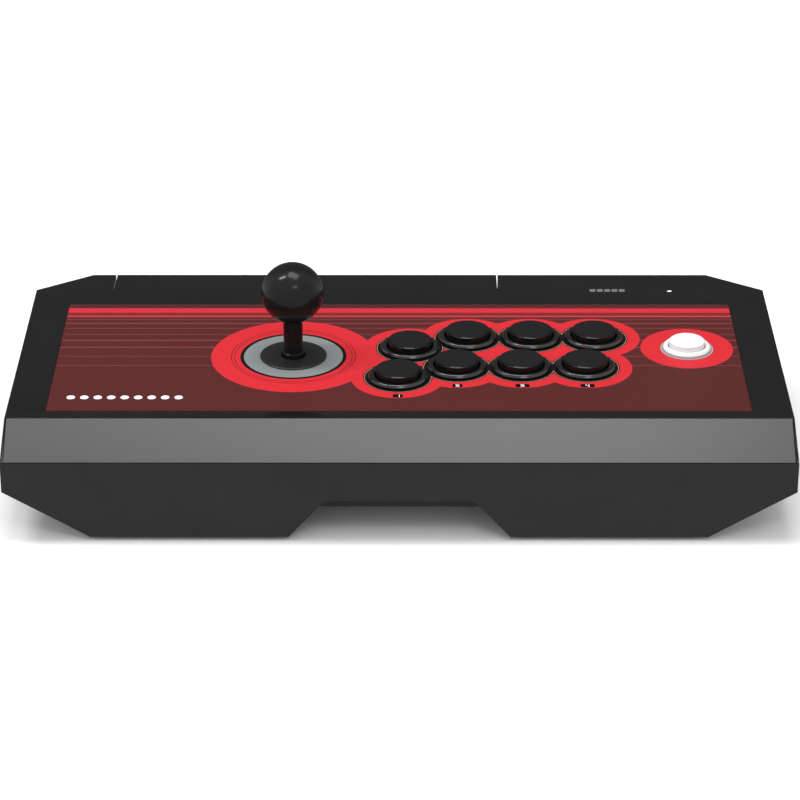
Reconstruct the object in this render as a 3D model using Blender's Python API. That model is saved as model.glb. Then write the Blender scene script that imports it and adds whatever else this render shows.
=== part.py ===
"""Arcade joystick panel: two plastic shells round a steel control plate, an eight-way lever,
nine push buttons, a lidded cable compartment and a small switch panel at the rear.

Metres, +Z up, +X to the player's right, +Y away from the player. The origin is the middle of
the footprint, on the surface that the rubber feet stand on.
"""

import math

import bmesh
import bpy
from mathutils import Matrix

# ---------------------------------------------------------------- driving dimensions (metres)
GAP = 0.0003                      # running gap between pieces that rest on each other
PAST = 0.0100                     # how far a cutter runs past the surface that it cuts
WALL = 0.0025                     # moulded wall of both shells
ROUND, SMALL_ROUND = 20, 12       # sides of the round pieces

# The body
HALF_WIDTH = 0.2150               # of the shells at their seam
DECK_HALF_WIDTH = 0.2142
HALF_DEPTH = 0.10725
SKID_Z = 0.0020                   # underside of the two skids; the feet stand out below it
CHIN_Z = 0.0295                   # where the side walls start to lean in
SKID_HALF_WIDTH = 0.1680
SEAM_Z = 0.0470                   # between the two shells, and lower edge of the front bezel
DECK_Z = 0.0630
DECK_FRONT_Y = -0.08325
TUNNEL_HALF_FOOT = 0.0603         # the tunnel between the skids
TUNNEL_HALF_ROOF = 0.0442
TUNNEL_ROOF_Z = 0.0199
BROW_Z = 0.0243                   # the front wall's step above the tunnel's mouth
BROW_DEPTH = 0.0015
CORNER_CUT_X = 0.0318             # rear corners, cut off in plan
CORNER_CUT_Y = 0.0220
BEZEL_HALF_WIDTH = 0.2131         # the grey strip on the sloping front
BEZEL_THICKNESS = 0.0012
BEZEL_TOP_GAP = 0.0005

# The lever's place
LEVER_X, LEVER_Y = -0.0598, -0.00585
PIVOT_Z = DECK_Z - 0.0130

# The printed sheet and the steel plate under it
ART_X = -0.0003                   # the printed sheet is centred on the lever's line
ART_WIDTH, ART_DEPTH, ART_CORNER = 0.3852, 0.1406, 0.0016
ART_THICKNESS = 0.0005
PLATE_THICKNESS = 0.0016
LEDGE = 0.0080                    # lip of the top shell that carries the plate
LEDGE_RIM = 0.0030                # how far the ledge's frame runs outside the sheet
LEDGE_FOOT, LEDGE_TOP = DECK_Z - 0.0050, DECK_Z - 0.0010
LEVER_HOLE_RADIUS = 0.0120

# Case screws: X, Y and the height of the well that the head sits in
CASE_SCREWS = [(sx * x, y, well) for x, y, well in
               ((0.1500, -0.0920, 0.0120), (0.1890, 0.0740, 0.0220)) for sx in (-1, 1)]
POST_HEIGHT = 0.0120              # from the well's floor to the joint between the two posts
LOWER_POST_RADIUS, UPPER_POST_RADIUS = 0.0055, 0.0042
LOWER_POST_DROP = 0.0085
UPPER_POST_TOPS = (0.0560, 0.0560, 0.0615, 0.0615)
WELL_RADIUS, PILOT_RADIUS, PILOT_DEPTH = 0.0036, 0.0019, 0.0110
SCREW_RADIUS, SCREW_HEAD_RADIUS, SCREW_HEAD_HEIGHT = 0.0015, 0.0030, 0.0020
SCREW_BITE = 0.0080

FOOT_RADIUS, FOOT_EDGE, FOOT_SEAT = 0.0090, 0.0006, 0.0010
FOOT_PLACES = [(sx * 0.1140, sy * 0.0860) for sx in (-1, 1) for sy in (-1, 1)]

# Push buttons
BUTTON_PITCH = 0.0360
UPPER_ROW = (0.0986, 0.0240)      # second button of each row, from the lever
LOWER_ROW = (0.0919, -0.0147)
UPPER_THUMB = (0.0657, 0.0104)    # first button of each row, set back towards the player
LOWER_THUMB = (0.0589, -0.0276)
START_BUTTON = (0.2226, 0.0102)
PLAY_SIZE = {"hole": 0.0150, "rim": 0.0167, "plunger": 0.0125, "proud": 0.0058}
START_SIZE = {"hole": 0.0120, "rim": 0.0135, "plunger": 0.01000, "proud": 0.0055}
RIM_HEIGHT = 0.0026
RIM_SHOULDER = 0.0015
RIM_SLOPE = 0.0009
BARREL_DEPTH, BARREL_FLOOR = 0.0240, 0.0030
BARREL_GAP, BORE_GAP = 0.0004, 0.0005
PLUNGER_SKIN, PLUNGER_DEPTH = 0.0016, 0.0130

# Lever: heights of the stick's pieces are from the pivot, the others' from the ground
BALL_RADIUS = 0.0175
BALL_HEIGHT = 0.0389              # ball's centre above the deck
BALL_SOCKET_RADIUS, BALL_SOCKET_DEPTH = 0.0036, 0.0080
SHAFT_RADIUS, SHAFT_FOOT, SHAFT_EDGE = 0.0040, -0.0254, 0.0006
PIVOT_BALL_RADIUS = 0.0064
COVER_RADIUS, COLLAR_STEP = 0.0054, 0.0007
COLLAR_DROP, COLLAR_RISE = 0.0040, 0.0062
ACTUATOR_RADIUS, ACTUATOR_FOOT, ACTUATOR_TOP = 0.0090, -0.0226, -0.0136
ACTUATOR_NECK_RADIUS = 0.0066
SPRING_RADIUS, SPRING_WIRE, SPRING_TURNS = 0.0054, 0.0005, 4
SPRING_FOOT, SPRING_TOP = -0.0128, -0.0052
RING_INNER, RING_OUTER, RING_HALF_HEIGHT = 0.0070, 0.0108, 0.0026
WASHER_HOLE, WASHER_RADIUS = 0.0068, 0.0188
WASHER_FOOT, WASHER_TOP = 0.0633, 0.0641
INNER_DISC_HOLE, INNER_DISC_RADIUS = 0.0092, 0.0165
INNER_DISC_FOOT, INNER_DISC_TOP = 0.0590, 0.0598
MOUNT_WIDTH, MOUNT_DEPTH, MOUNT_HOLE_RADIUS = 0.0860, 0.0530, 0.0205
MOUNT_FOOT, MOUNT_TOP = 0.0587, 0.0600
HOUSING_SIDE, HOUSING_CORNER = 0.0610, 0.0040
HOUSING_TOP, HOUSING_FOOT = 0.0584, 0.0384
THROAT = ((0.0180, 0.0460), (0.0124, 0.0540), (0.0095, 0.0550))   # radius and top of each step
LEVER_BOARD_SIDE, LEVER_BOARD_HOLE = 0.0490, 0.0130
BOARD_TOP, BOARD_FOOT = 0.0381, 0.0365
GATE_TOP, GATE_FOOT = 0.0292, 0.0262
GATE_OPENING, GATE_OPENING_CORNER = 0.0272, 0.0060
GATE_POST, GATE_POST_PLACE = 0.0050, 0.0275
SWITCH_NEAR, SWITCH_FAR, SWITCH_HALF_LENGTH = 0.0138, 0.0240, 0.0098

# Rear compartment and its lid
DOOR_X0, DOOR_X1 = -0.1682, 0.0576
DOOR_SIDE_GAP, DOOR_EDGE_GAP = 0.0007, 0.0004
DOOR_FLANGE = 0.0200              # how far the lid reaches over the deck
DOOR_WALL = 0.0022
DOOR_FOOT_RISE = 0.0045           # where the lid's leg meets its hinge barrel
KNUCKLE_RADIUS = 0.0033
HINGE_PIN_RADIUS = 0.0015
HINGE_Y = HALF_DEPTH - KNUCKLE_RADIUS
HINGE_Z = 0.0280
TRAY_FRONT_Y = 0.0680
TRAY_FLOOR_Z, TRAY_TOP_Z = 0.0245, 0.0576
TRAY_SIDE_GAP, TRAY_WALL, TRAY_FLOOR = 0.0006, 0.0020, 0.0016
TRAY_BROW_DEPTH = 0.0035
GLAND_X, GLAND_Z = -0.0600, 0.0400
GLAND_HOLE, GLAND_BORE, GLAND_FLANGE = 0.0050, 0.0024, 0.0068

# Rear switch panel
PANEL_X, PANEL_Z = 0.1250, 0.0320
PANEL_WIDTH, PANEL_HEIGHT, PANEL_CORNER, PANEL_THICKNESS = 0.0900, 0.0200, 0.0020, 0.0012
PANEL_LIP = 0.0020                # how far the panel reaches behind the rear wall's opening
PANEL_FACE_Y = HALF_DEPTH - WALL - GAP
FUNCTION_BUTTON_PLACES = (-0.0350, -0.0210, -0.0070)
FUNCTION_BUTTON_RADIUS, FUNCTION_STEM_RADIUS = 0.0040, 0.0034
SLIDER_PLACES = (0.0130, 0.0330)
SLOT_WIDTH, SLOT_HEIGHT, SLOT_CORNER = 0.0104, 0.0036, 0.0006
KNOB_HALF_WIDTH, KNOB_HALF_HEIGHT = 0.0022, 0.0014
KNOB_BACK, KNOB_FACE = -0.0040, 0.0012
KNOB_START = -0.0026              # rest place of each knob in its slot

# Main board and status light
BOARD_X, BOARD_Y, BOARD_Z = 0.1150, 0.0200, 0.0095
BOARD_WIDTH, BOARD_DEPTH, BOARD_THICKNESS = 0.0900, 0.0480, 0.0016
STAND_RADIUS, STAND_X, STAND_Y = 0.0025, 0.0400, 0.0180
LIGHT_X, LIGHT_Y = 0.1590, LEVER_Y + 0.0894
LIGHT_WIDTH, LIGHT_DEPTH, LIGHT_LENGTH = 0.0024, 0.0012, 0.0060


# ------------------------------------------------------------------------------------ helpers
def material(name, colour, roughness, metallic=0.0):
    """A Principled material, made once for each name."""
    found = bpy.data.materials.get(name)
    if found:
        return found
    made = bpy.data.materials.new(name)
    made.use_nodes = True
    shader = made.node_tree.nodes["Principled BSDF"]
    shader.inputs["Base Color"].default_value = (*colour, 1.0)
    shader.inputs["Roughness"].default_value = roughness
    shader.inputs["Metallic"].default_value = metallic
    made.diffuse_color = (*colour, 1.0)
    return made


def put(name, bm, surface=None, at=(0, 0, 0), parent=None, smooth=False):
    """Turns a bmesh into a named object at a place, under a parent empty if it moves with one."""
    bmesh.ops.recalc_face_normals(bm, faces=bm.faces)
    mesh = bpy.data.meshes.new(name)
    bm.to_mesh(mesh)
    bm.free()
    if smooth:
        mesh.shade_smooth()
        mesh.set_sharp_from_angle(angle=math.radians(35))
    thing = bpy.data.objects.new(name, mesh)
    bpy.context.scene.collection.objects.link(thing)
    thing.location = at
    thing.parent = parent
    if surface:
        mesh.materials.append(surface)
    return thing


def empty(name, at, parent=None):
    """A handle on a joint's axis."""
    handle = bpy.data.objects.new(name, None)
    bpy.context.scene.collection.objects.link(handle)
    handle.location = at
    handle.parent = parent
    return handle


def prism(outline, low, high, axis="Z", bm=None):
    """An outline pulled along an axis. Outline points are XY for Z, XZ for Y and YZ for X."""
    bm = bm or bmesh.new()
    place = {"Z": lambda a, b, c: (a, b, c), "Y": lambda a, b, c: (a, c, b),
             "X": lambda a, b, c: (c, a, b)}[axis]
    ends = [[bm.verts.new(place(a, b, c)) for a, b in outline] for c in (low, high)]
    bm.faces.new(ends[0])
    bm.faces.new(ends[1])
    count = len(outline)
    for i in range(count):
        j = (i + 1) % count
        bm.faces.new((ends[0][i], ends[0][j], ends[1][j], ends[1][i]))
    return bm


def block(x0, x1, y0, y1, z0, z1, bm=None):
    """A box between two corners."""
    return prism([(x0, y0), (x1, y0), (x1, y1), (x0, y1)], z0, z1, bm=bm)


def circle(radius, cx=0.0, cy=0.0, sides=ROUND):
    """Points round a circle."""
    turn = 2 * math.pi / sides
    return [(cx + radius * math.cos(i * turn), cy + radius * math.sin(i * turn))
            for i in range(sides)]


def rounded(width, depth, radius, cx=0.0, cy=0.0, steps=3):
    """A rectangle with round corners."""
    points = []
    for quarter, (sx, sy) in enumerate(((1, 1), (-1, 1), (-1, -1), (1, -1))):
        ox = cx + sx * (width / 2 - radius)
        oy = cy + sy * (depth / 2 - radius)
        for step in range(steps + 1):
            angle = math.pi / 2 * (quarter + step / steps)
            points.append((ox + radius * math.cos(angle), oy + radius * math.sin(angle)))
    return points


def inset(outline, amount):
    """The outline moved inwards by the same amount on every side."""
    area = sum(a[0] * b[1] - b[0] * a[1] for a, b in zip(outline, outline[1:] + outline[:1]))
    turn = 1 if area > 0 else -1
    lines = []
    for (ax, ay), (bx, by) in zip(outline, outline[1:] + outline[:1]):
        length = math.hypot(bx - ax, by - ay)
        dx, dy = (bx - ax) / length, (by - ay) / length
        lines.append((ax - dy * amount * turn, ay + dx * amount * turn, dx, dy))
    moved = []
    for before, after in zip(lines[-1:] + lines[:-1], lines):
        px, py, pdx, pdy = before
        qx, qy, qdx, qdy = after
        reach = ((qx - px) * qdy - (qy - py) * qdx) / (pdx * qdy - pdy * qdx)
        moved.append((px + pdx * reach, py + pdy * reach))
    return moved


def turned(profile, sides=ROUND):
    """A profile of (radius, height) points, turned round Z. Radius 0 makes a pole."""
    bm = bmesh.new()
    rings = []
    for radius, height in profile:
        if radius == 0:
            rings.append([bm.verts.new((0, 0, height))])
        else:
            rings.append([bm.verts.new((x, y, height)) for x, y in circle(radius, sides=sides)])
    open_ended = profile[0][0] == 0
    pairs = list(zip(rings, rings[1:] + rings[:1]))
    for lower, upper in (pairs[:-1] if open_ended else pairs):
        for i in range(sides):
            j = (i + 1) % sides
            if len(lower) == 1:
                bm.faces.new((lower[0], upper[i], upper[j]))
            elif len(upper) == 1:
                bm.faces.new((lower[i], lower[j], upper[0]))
            else:
                bm.faces.new((lower[i], lower[j], upper[j], upper[i]))
    return bm


def combine(thing, operation, *tools):
    """Adds a Boolean for each tool; the tools are guides that aren't part of the object."""
    for tool in tools:
        cut = thing.modifiers.new(f"{operation.lower()} {tool.name}", "BOOLEAN")
        cut.operation = operation
        cut.solver = "EXACT"
        cut.object = tool
        tool.hide_render = True
        tool.display_type = "WIRE"
    return thing


# -------------------------------------------------------------------------------- the materials
BLACK_PLASTIC = material("black_plastic", (0.022, 0.022, 0.023), 0.42)
BASE_PLASTIC = material("base_plastic", (0.032, 0.032, 0.032), 0.55)
GREY_PLASTIC = material("grey_plastic", (0.19, 0.19, 0.19), 0.45)
GLOSS_BLACK = material("gloss_black", (0.006, 0.006, 0.006), 0.12)
GLOSS_WHITE = material("gloss_white", (0.85, 0.85, 0.85), 0.15)
PRINT_RED = material("print_red", (0.13, 0.032, 0.033), 0.35)
STEEL = material("steel", (0.55, 0.55, 0.56), 0.30, 1.0)
NYLON = material("nylon", (0.03, 0.03, 0.032), 0.60)
RUBBER = material("rubber", (0.012, 0.012, 0.012), 0.90)
CIRCUIT = material("circuit_board", (0.02, 0.11, 0.04), 0.50)
CLEAR = material("clear_plastic", (0.80, 0.80, 0.80), 0.10)
SWITCH_PLASTIC = material("switch_plastic", (0.25, 0.03, 0.02), 0.50)


# ----------------------------------------------------------------------------- the two shells
def body_outlines():
    """The body's outline from the front (XZ), from the side (YZ) and from above (XY)."""
    right = [(TUNNEL_HALF_ROOF, TUNNEL_ROOF_Z), (TUNNEL_HALF_FOOT, SKID_Z),
             (SKID_HALF_WIDTH, SKID_Z), (HALF_WIDTH, CHIN_Z), (HALF_WIDTH, SEAM_Z),
             (DECK_HALF_WIDTH, DECK_Z)]
    front = right + [(-x, z) for x, z in reversed(right)]
    side = [(-HALF_DEPTH, SKID_Z), (HALF_DEPTH, SKID_Z), (HALF_DEPTH, DECK_Z),
            (DECK_FRONT_Y, DECK_Z), (-HALF_DEPTH, SEAM_Z)]
    cut_x, cut_y = DECK_HALF_WIDTH - CORNER_CUT_X, HALF_DEPTH - CORNER_CUT_Y
    slope = CORNER_CUT_Y / CORNER_CUT_X
    corner = [(DECK_HALF_WIDTH + PAST, cut_y - PAST * slope), (cut_x - PAST / slope, HALF_DEPTH + PAST)]
    plan = [(-DECK_HALF_WIDTH - PAST, -HALF_DEPTH - PAST), (DECK_HALF_WIDTH + PAST, -HALF_DEPTH - PAST)]
    plan += corner + [(-x, y) for x, y in reversed(corner)]
    return front, side, plan


def body_solid(name, shrink, low, high, surface=None):
    """The whole body between two heights, with every side moved in by shrink."""
    front, side, plan = (inset(o, shrink) if shrink else o for o in body_outlines())
    reach = HALF_WIDTH + 4 * PAST
    thing = put(name, prism(front, -reach, reach, "Y"), surface)
    side_guide = put(f"{name}_side_guide", prism(side, -reach, reach, "X"))
    plan_guide = put(f"{name}_plan_guide", prism(plan, low, high))
    return combine(thing, "INTERSECT", side_guide, plan_guide)


def rear_openings():
    """What is cut from both shells at the rear: the space that the lid closes."""
    bm = block(DOOR_X0 - DOOR_SIDE_GAP, DOOR_X1 + DOOR_SIDE_GAP,
               HALF_DEPTH - DOOR_FLANGE - DOOR_EDGE_GAP, HALF_DEPTH + PAST,
               HINGE_Z - KNUCKLE_RADIUS - DOOR_EDGE_GAP, DECK_Z + PAST)
    return put("rear_opening_guide", bm)


def screw_posts(name, bottoms, tops, radius):
    """Round posts at the case screws, as one guide for each post."""
    return [put(f"{name}_{i + 1}", prism(circle(radius, x, y, SMALL_ROUND), low, high))
            for i, ((x, y, _), low, high) in enumerate(zip(CASE_SCREWS, bottoms, tops))]


def post_joint_z(well):
    """Height at which the lower shell's post meets the upper shell's."""
    return well + POST_HEIGHT


def make_top_case():
    shell = body_solid("top_case", 0.0, SEAM_Z + GAP, DECK_Z + PAST, BLACK_PLASTIC)
    hollow = body_solid("top_hollow_guide", WALL, SEAM_Z - PAST, DECK_Z)
    combine(shell, "DIFFERENCE", hollow)
    rim = rounded(ART_WIDTH + 2 * LEDGE_RIM, ART_DEPTH + 2 * LEDGE_RIM, ART_CORNER, ART_X, LEVER_Y)
    ledge = put("plate_ledge_guide", prism(rim, LEDGE_FOOT, LEDGE_TOP))
    joints = [post_joint_z(well) + GAP for _, _, well in CASE_SCREWS]
    posts = screw_posts("top_post_guide", joints, UPPER_POST_TOPS, UPPER_POST_RADIUS)
    combine(shell, "UNION", ledge, *posts)
    seat = rounded(ART_WIDTH + 2 * GAP, ART_DEPTH + 2 * GAP, ART_CORNER, ART_X, LEVER_Y)
    seat_floor = DECK_Z - ART_THICKNESS - GAP - PLATE_THICKNESS - GAP
    pocket = put("plate_pocket_guide", prism(seat, seat_floor, DECK_Z + PAST))
    view = rounded(ART_WIDTH - 2 * LEDGE, ART_DEPTH - 2 * LEDGE, ART_CORNER, ART_X, LEVER_Y)
    window = put("window_guide", prism(view, SEAM_Z, DECK_Z))
    pilots = screw_posts("pilot_guide", [z - PAST for z in joints], [z + PILOT_DEPTH for z in joints],
                         PILOT_RADIUS)
    light = put("light_hole_guide", prism(light_outline(GAP), DECK_Z - PAST, DECK_Z + PAST))
    combine(shell, "DIFFERENCE", pocket, window, rear_openings(), bezel_pocket(), light, *pilots)
    return shell


def light_outline(margin):
    """The status light's outline in the deck, made larger all round by a margin."""
    width, depth = LIGHT_WIDTH + 2 * margin, LIGHT_DEPTH + 2 * margin
    return rounded(width, depth, 0.45 * depth, LIGHT_X, LIGHT_Y)


def slope_strip(half_width, out, depth, low_z, top_gap):
    """The sloping front as a slab, from out above its surface to depth below it."""
    run = DECK_FRONT_Y + HALF_DEPTH
    rise = DECK_Z - SEAM_Z
    length = math.hypot(run, rise)

    def on_level(z, offset):
        """Y of the plane that lies offset above the slope, at height z."""
        return -HALF_DEPTH + (z - SEAM_Z) * run / rise - offset * length / rise

    high_y = DECK_FRONT_Y - top_gap
    top_z = SEAM_Z + (high_y + HALF_DEPTH) * rise / run
    outline = [(on_level(low_z, out), low_z), (high_y, top_z + out * length / run),
               (high_y, top_z - depth * length / run), (on_level(low_z, -depth), low_z)]
    return prism(outline, -half_width, half_width, "X")


def bezel_pocket():
    """The shallow pocket that the front bezel is glued into."""
    strip = slope_strip(BEZEL_HALF_WIDTH + GAP, 0.3 * PAST, BEZEL_THICKNESS + GAP, SEAM_Z - 0.1 * PAST,
                        BEZEL_TOP_GAP - GAP)
    return put("bezel_pocket_guide", strip)


def make_front_bezel():
    strip = slope_strip(BEZEL_HALF_WIDTH, 0.0, BEZEL_THICKNESS, SEAM_Z + GAP, BEZEL_TOP_GAP)
    return put("front_bezel", strip, GREY_PLASTIC)


def brow_cut():
    """The step above the tunnel's mouth, with the tunnel's own leaning sides."""
    lean = (TUNNEL_HALF_FOOT - TUNNEL_HALF_ROOF) / (TUNNEL_ROOF_Z - SKID_Z)
    half_foot = TUNNEL_HALF_FOOT + lean * PAST
    half_brow = TUNNEL_HALF_ROOF - lean * (BROW_Z - TUNNEL_ROOF_Z)
    outline = [(-half_foot, SKID_Z - PAST), (half_foot, SKID_Z - PAST),
               (half_brow, BROW_Z), (-half_brow, BROW_Z)]
    return put("brow_guide", prism(outline, -HALF_DEPTH - PAST, -HALF_DEPTH + BROW_DEPTH, "Y"))


def board_stands():
    """Four short posts under the main board."""
    corners = ((-1, -1), (1, -1), (1, 1), (-1, 1))
    return [put(f"board_stand_guide_{i + 1}",
                prism(circle(STAND_RADIUS, BOARD_X + sx * STAND_X, BOARD_Y + sy * STAND_Y, 8),
                      SKID_Z + WALL / 2, BOARD_Z - GAP))
            for i, (sx, sy) in enumerate(corners)]


def make_lower_case():
    tray = body_solid("lower_case", 0.0, -PAST, SEAM_Z, BASE_PLASTIC)
    hollow = body_solid("lower_hollow_guide", WALL, -2 * PAST, SEAM_Z + PAST)
    combine(tray, "DIFFERENCE", hollow)
    posts = screw_posts("lower_post_guide", [well - LOWER_POST_DROP for _, _, well in CASE_SCREWS],
                        [post_joint_z(well) for _, _, well in CASE_SCREWS], LOWER_POST_RADIUS)
    combine(tray, "UNION", *posts, *board_stands())
    wells = screw_posts("screw_well_guide", [-PAST] * 4, [well for _, _, well in CASE_SCREWS], WELL_RADIUS)
    bores = screw_posts("screw_bore_guide", [-PAST] * 4, [SEAM_Z] * 4, PILOT_RADIUS)
    seats = [put(f"foot_seat_guide_{i + 1}",
                 prism(circle(FOOT_RADIUS + GAP, x, y), -PAST, SKID_Z + FOOT_SEAT))
             for i, (x, y) in enumerate(FOOT_PLACES)]
    opening = rounded(PANEL_WIDTH - 2 * PANEL_LIP, PANEL_HEIGHT - 2 * PANEL_LIP, PANEL_CORNER,
                      PANEL_X, PANEL_Z)
    panel_hole = put("panel_hole_guide", prism(opening, HALF_DEPTH - PAST, HALF_DEPTH + PAST, "Y"))
    combine(tray, "DIFFERENCE", *wells, *bores, *seats, rear_openings(), panel_hole, brow_cut())
    return tray


def make_feet():
    top = SKID_Z + FOOT_SEAT - GAP
    profile = [(0, 0), (FOOT_RADIUS - FOOT_EDGE, 0), (FOOT_RADIUS, FOOT_EDGE), (FOOT_RADIUS, top), (0, top)]
    for i, (x, y) in enumerate(FOOT_PLACES):
        put(f"rubber_foot_{i + 1}", turned(profile), RUBBER, at=(x, y, 0), smooth=True)


def make_case_screws():
    for i, (x, y, well) in enumerate(CASE_SCREWS):
        head = well - GAP
        tip = post_joint_z(well) + SCREW_BITE
        profile = [(0, head - SCREW_HEAD_HEIGHT), (SCREW_HEAD_RADIUS, head - SCREW_HEAD_HEIGHT),
                   (SCREW_HEAD_RADIUS, head), (SCREW_RADIUS, head), (SCREW_RADIUS, tip),
                   (0, tip + 0.6 * SCREW_RADIUS)]
        put(f"case_screw_{i + 1}", turned(profile, SMALL_ROUND), STEEL, at=(x, y, 0), smooth=True)


# --------------------------------------------------------------------- control plate and sheet
def button_places():
    """Name, X, Y and size of each push button."""
    upper = [UPPER_THUMB] + [(UPPER_ROW[0] + i * BUTTON_PITCH, UPPER_ROW[1]) for i in range(3)]
    lower = [LOWER_THUMB] + [(LOWER_ROW[0] + i * BUTTON_PITCH, LOWER_ROW[1]) for i in range(3)]
    for i, (x, y) in enumerate(upper + lower):
        yield f"play_button_{i + 1}", LEVER_X + x, LEVER_Y + y, PLAY_SIZE
    yield "start_button", LEVER_X + START_BUTTON[0], LEVER_Y + START_BUTTON[1], START_SIZE


def panel_layer(name, thickness, top, shrink, surface):
    """A sheet that fills the window, with a hole for the lever and for each button."""
    outline = rounded(ART_WIDTH - 2 * shrink, ART_DEPTH - 2 * shrink, ART_CORNER, ART_X, LEVER_Y)
    sheet = put(name, prism(outline, top - thickness, top), surface)
    holes = prism(circle(LEVER_HOLE_RADIUS, LEVER_X, LEVER_Y), top - PAST, top + PAST)
    for _, x, y, size in button_places():
        prism(circle(size["hole"], x, y), top - PAST, top + PAST, bm=holes)
    return combine(sheet, "DIFFERENCE", put(f"{name}_hole_guide", holes))


def make_panel_layers():
    panel_layer("art_overlay", ART_THICKNESS, DECK_Z, 0.0, PRINT_RED)
    panel_layer("control_plate", PLATE_THICKNESS, DECK_Z - ART_THICKNESS - GAP, GAP, STEEL)


# ------------------------------------------------------------------------------- push buttons
def make_push_button(name, x, y, size):
    """A snap-in barrel with a flanged rim, and the plunger that travels in it."""
    rim, hole, bore = size["rim"], size["hole"] - BARREL_GAP, size["plunger"] + BORE_GAP
    floor = BARREL_FLOOR - BARREL_DEPTH
    colour = GLOSS_WHITE if name == "start_button" else GLOSS_BLACK
    barrel = [(0, -BARREL_DEPTH), (hole, -BARREL_DEPTH), (hole, GAP), (rim, GAP), (rim, RIM_SHOULDER),
              (rim - RIM_SLOPE, RIM_HEIGHT), (bore, RIM_HEIGHT), (bore, floor), (0, floor)]
    put(f"{name}_barrel", turned(barrel), colour, at=(x, y, DECK_Z), smooth=True)
    radius, proud, skin = size["plunger"], size["proud"], PLUNGER_SKIN
    cap = [(0, proud - skin), (radius - skin, proud - 1.4 * skin), (radius - skin, -PLUNGER_DEPTH),
           (radius, -PLUNGER_DEPTH), (radius, proud - 0.8 * skin), (radius - 0.3 * skin, proud - 0.25 * skin),
           (radius - skin, proud), (0, proud)]
    put(f"{name}_plunger", turned(cap), colour, at=(x, y, DECK_Z), smooth=True)


# -------------------------------------------------------------------------------------- lever
def make_ball(handle, centre, foot):
    """The ball top, with the blind hole that takes the shaft's thread."""
    steps = 12
    start = math.atan2(foot, BALL_SOCKET_RADIUS)
    arc = [start + (math.pi / 2 - start) * i / steps for i in range(steps)]
    roof = centre + BALL_SOCKET_DEPTH
    ball = [(0, roof), (BALL_SOCKET_RADIUS, roof)]
    ball += [(BALL_RADIUS * math.cos(a), centre + BALL_RADIUS * math.sin(a)) for a in arc]
    ball += [(0, centre + BALL_RADIUS)]
    put("ball_top", turned(ball, 24), GLOSS_BLACK, parent=handle, smooth=True)


def make_shaft_cover(handle, top):
    """A tube over the shaft, a little thicker at its foot."""
    low = DECK_Z - PIVOT_Z - COLLAR_DROP
    collar = DECK_Z - PIVOT_Z + COLLAR_RISE
    inner, wide = SHAFT_RADIUS + GAP, COVER_RADIUS + COLLAR_STEP
    edge = 0.9 * COLLAR_STEP
    cover = [(inner, low), (wide, low), (wide, collar), (COVER_RADIUS, collar + edge),
             (COVER_RADIUS, top - edge), (COVER_RADIUS - edge, top), (inner, top)]
    put("shaft_cover", turned(cover, 16), GLOSS_BLACK, parent=handle, smooth=True)


def make_shaft(handle, top, tip):
    """The steel shaft: its thread in the ball, the pivot ball and the straight lower end."""
    thread = BALL_SOCKET_RADIUS - GAP
    turns = [math.radians(d) for d in (-45, -20, 0, 20, 45)]
    bulge = [(PIVOT_BALL_RADIUS * math.cos(a), PIVOT_BALL_RADIUS * math.sin(a)) for a in turns]
    shaft = [(0, SHAFT_FOOT), (SHAFT_RADIUS - SHAFT_EDGE, SHAFT_FOOT),
             (SHAFT_RADIUS, SHAFT_FOOT + SHAFT_EDGE), (SHAFT_RADIUS, bulge[0][1]), *bulge,
             (SHAFT_RADIUS, bulge[-1][1]), (SHAFT_RADIUS, top), (thread, top), (thread, tip), (0, tip)]
    put("lever_shaft", turned(shaft, 16), STEEL, parent=handle, smooth=True)


def make_lever_stick(handle):
    """Everything that tilts with the player's hand."""
    centre = DECK_Z + BALL_HEIGHT - PIVOT_Z
    foot = -math.sqrt(BALL_RADIUS ** 2 - BALL_SOCKET_RADIUS ** 2)
    top = centre + foot - GAP
    make_ball(handle, centre, foot)
    make_shaft_cover(handle, top)
    make_shaft(handle, top, centre + BALL_SOCKET_DEPTH - GAP)
    nose = SHAFT_RADIUS + GAP
    edge = 0.0012
    actuator = [(nose, ACTUATOR_FOOT), (ACTUATOR_RADIUS - edge, ACTUATOR_FOOT),
                (ACTUATOR_RADIUS, ACTUATOR_FOOT + edge), (ACTUATOR_RADIUS, ACTUATOR_TOP - edge),
                (ACTUATOR_NECK_RADIUS, ACTUATOR_TOP), (nose, ACTUATOR_TOP)]
    put("lever_actuator", turned(actuator, 16), NYLON, parent=handle, smooth=True)
    make_coil("lever_spring", handle, SPRING_RADIUS, SPRING_WIRE, SPRING_FOOT, SPRING_TOP, SPRING_TURNS)


def make_coil(name, handle, radius, wire, low, high, turns):
    """A compression spring, as one round wire on a helix."""
    per_turn = 12
    count = turns * per_turn + 1
    curve = bpy.data.curves.new(name, "CURVE")
    curve.dimensions = "3D"
    curve.bevel_depth = wire
    curve.bevel_resolution = 1
    curve.use_fill_caps = True
    line = curve.splines.new("POLY")
    line.points.add(count - 1)
    for i, point in enumerate(line.points):
        turn = 2 * math.pi * i / per_turn
        height = low + (high - low) * i / (count - 1)
        point.co = (radius * math.cos(turn), radius * math.sin(turn), height, 1)
    curve.materials.append(STEEL)
    thing = bpy.data.objects.new(name, curve)
    bpy.context.scene.collection.objects.link(thing)
    thing.parent = handle
    return thing


def flat_ring(inner, outer, low, high):
    """Profile of a plain ring."""
    return [(inner, low), (outer, low), (outer, high), (inner, high)]


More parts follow.
